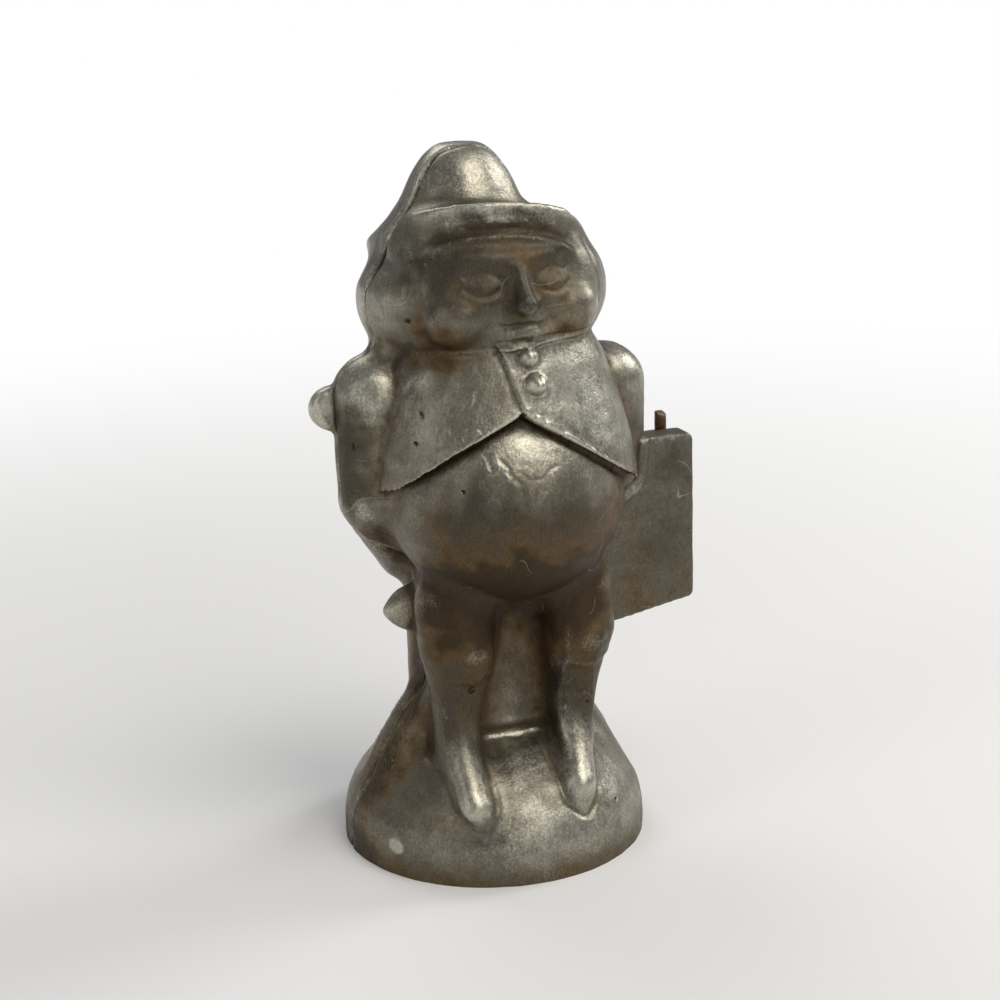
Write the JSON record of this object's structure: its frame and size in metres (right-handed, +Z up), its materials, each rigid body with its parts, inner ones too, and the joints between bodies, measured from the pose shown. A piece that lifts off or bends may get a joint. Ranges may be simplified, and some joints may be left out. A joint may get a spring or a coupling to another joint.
{
  "type": "ice cream mould",
  "caption": "Hinged pewter ice cream mould: two cast half shells form a stout little man on a domed base, joined by a hinge with a loose pin.",
  "frame": {"origin": "centre of the round standing face at the bottom of the closed mould, on the parting plane", "axes": "+Z up through the figure, -Y the way the figure faces, +X towards the hinge; the parting plane is XZ"},
  "size_m": [0.0635, 0.0504, 0.1149],
  "materials": {
    "pewter": "cast pewter, worn satin with brown patina",
    "soldered_pewter": "cast pewter, dull satin",
    "iron_wire": "dark rusted iron wire"
  },
  "bodies": {
    "front": {"front_half": "pewter", "front_hinge_plate": "soldered_pewter"},
    "back": {"back_half": "pewter", "back_hinge_plate": "soldered_pewter"},
    "pin": {"hinge_pin": "iron_wire"}
  },
  "joints": [
    {"name": "mould_hinge", "type": "hinge", "parent": "front", "child": "back", "pos_m": [0.0329, 0.0028, 0.05], "axis": [0, 0, -1], "range_deg": [0, 170]},
    {"name": "pin_draw", "type": "slide", "parent": "front", "child": "pin", "axis": [0, 0, 1], "range_m": [0, 0.028]}
  ]
}
